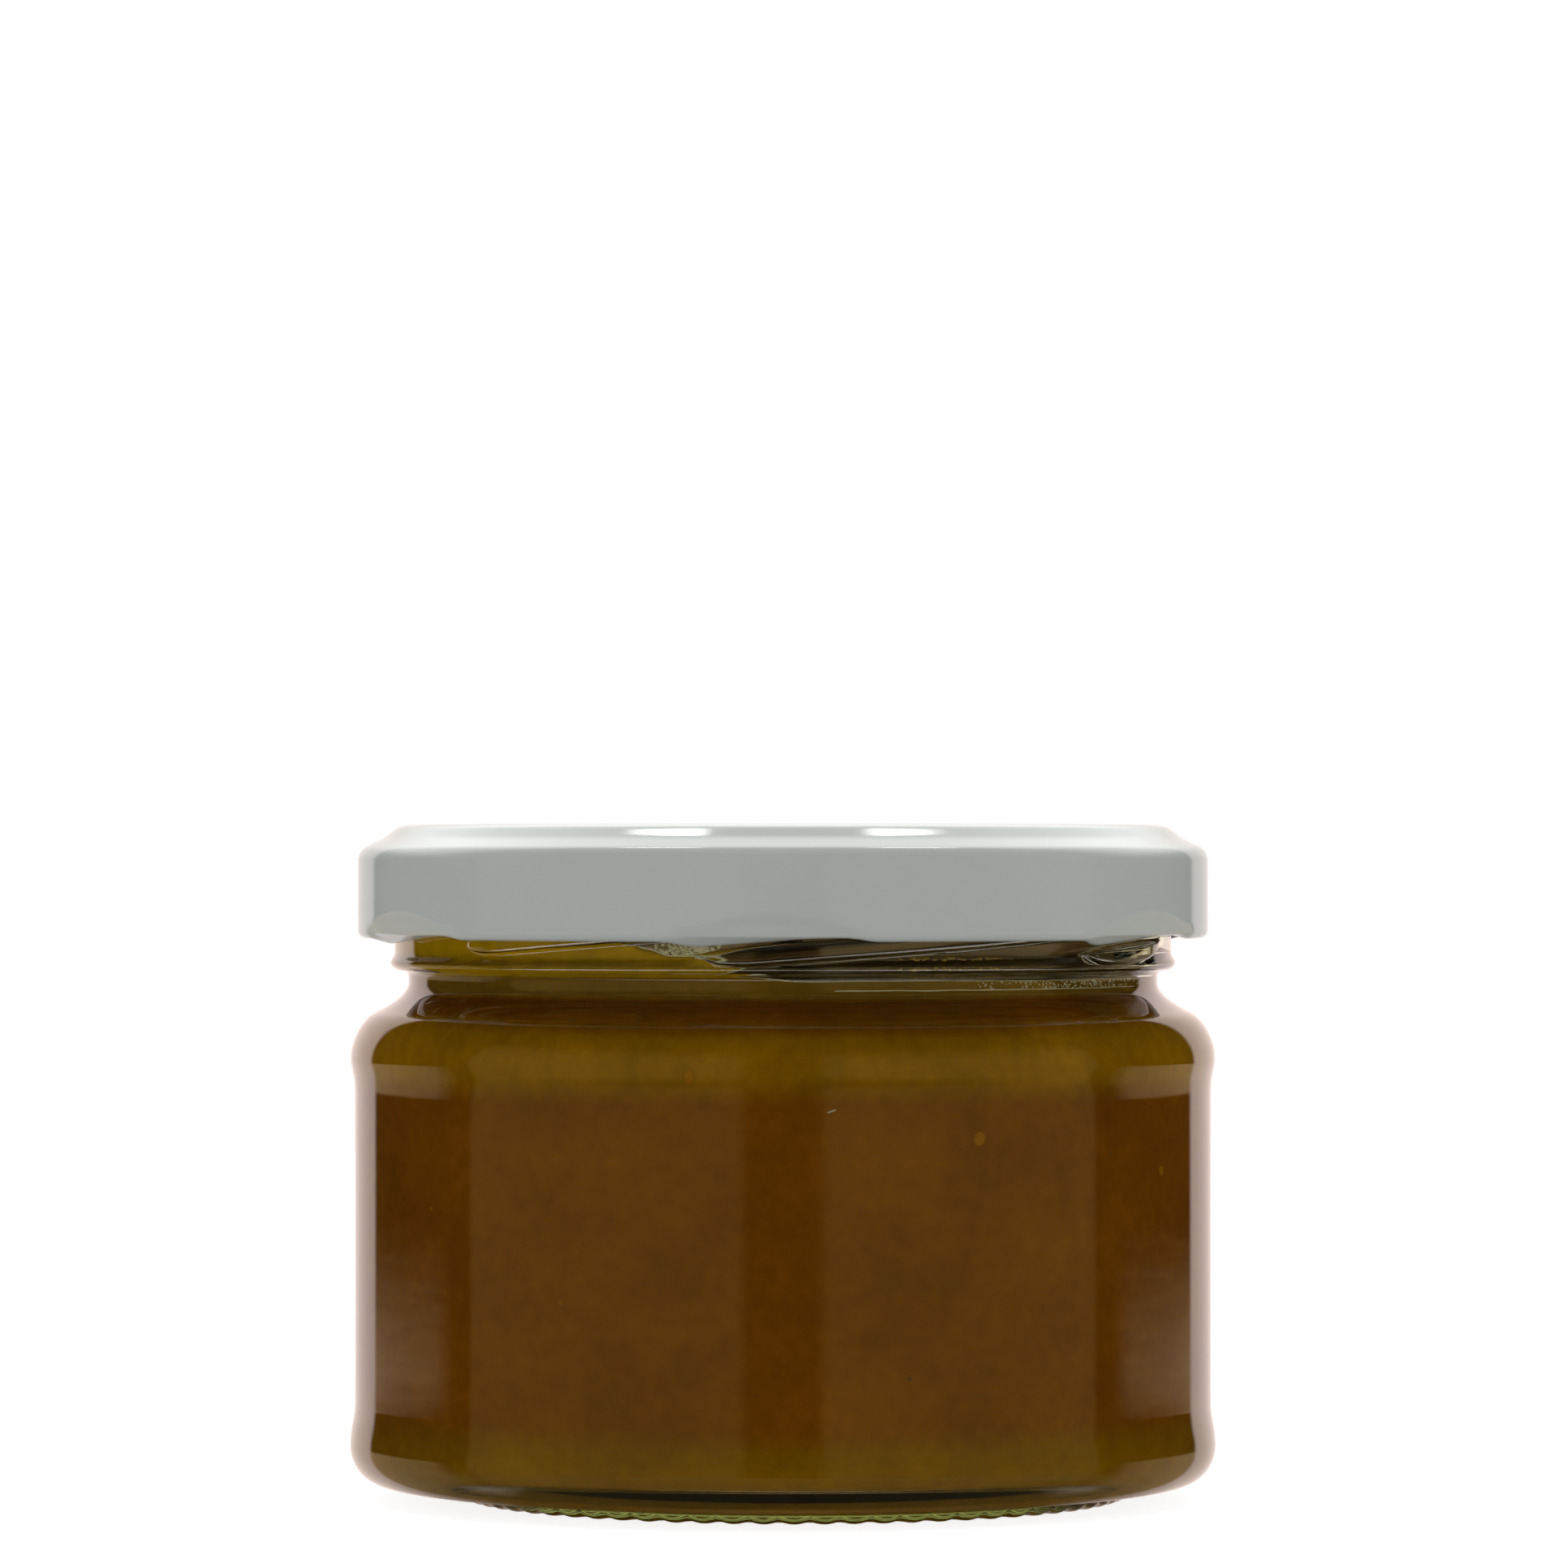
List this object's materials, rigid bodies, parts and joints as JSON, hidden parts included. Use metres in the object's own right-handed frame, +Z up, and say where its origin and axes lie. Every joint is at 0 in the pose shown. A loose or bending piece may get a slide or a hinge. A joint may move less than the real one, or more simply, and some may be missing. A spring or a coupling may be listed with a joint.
{
  "type": "twist-off jar",
  "caption": "Squat clear glass jar with a wide threaded mouth, filled with brown chutney and closed by a lugged metal twist-off lid with a flowed-in seal.",
  "frame": {"origin": "on the jar's axis, at the surface that the jar stands on", "axes": "+Z up along the jar's axis, -Y towards the camera of the picture, +X to the picture's right"},
  "size_m": [0.087, 0.087, 0.0675],
  "materials": {
    "glass": "clear, pressed and fire-polished",
    "chutney": "wet and thick, with pale specks",
    "lid_enamel": "gloss enamel on tinplate",
    "lid_seal": "satin, flowed in and cured"
  },
  "bodies": {
    "jar": {"glass_jar": "glass", "contents": "chutney"},
    "seal": {"lid_gasket": "lid_seal"},
    "lid": {"lid_shell": "lid_enamel"}
  },
  "joints": [
    {"name": "lid_rise", "type": "slide", "parent": "jar", "child": "seal", "axis": [0, 0, 1], "range_m": [0, 0.019]},
    {"name": "lid_twist", "type": "hinge", "parent": "seal", "child": "lid", "pos_m": [0, 0, 0.0566], "axis": [0, 0, 1], "range_deg": [0, 360]}
  ],
  "couplings": [
    {"joint": "lid_rise", "follows": "lid_twist", "m_per_rad": 0.0030239}
  ]
}
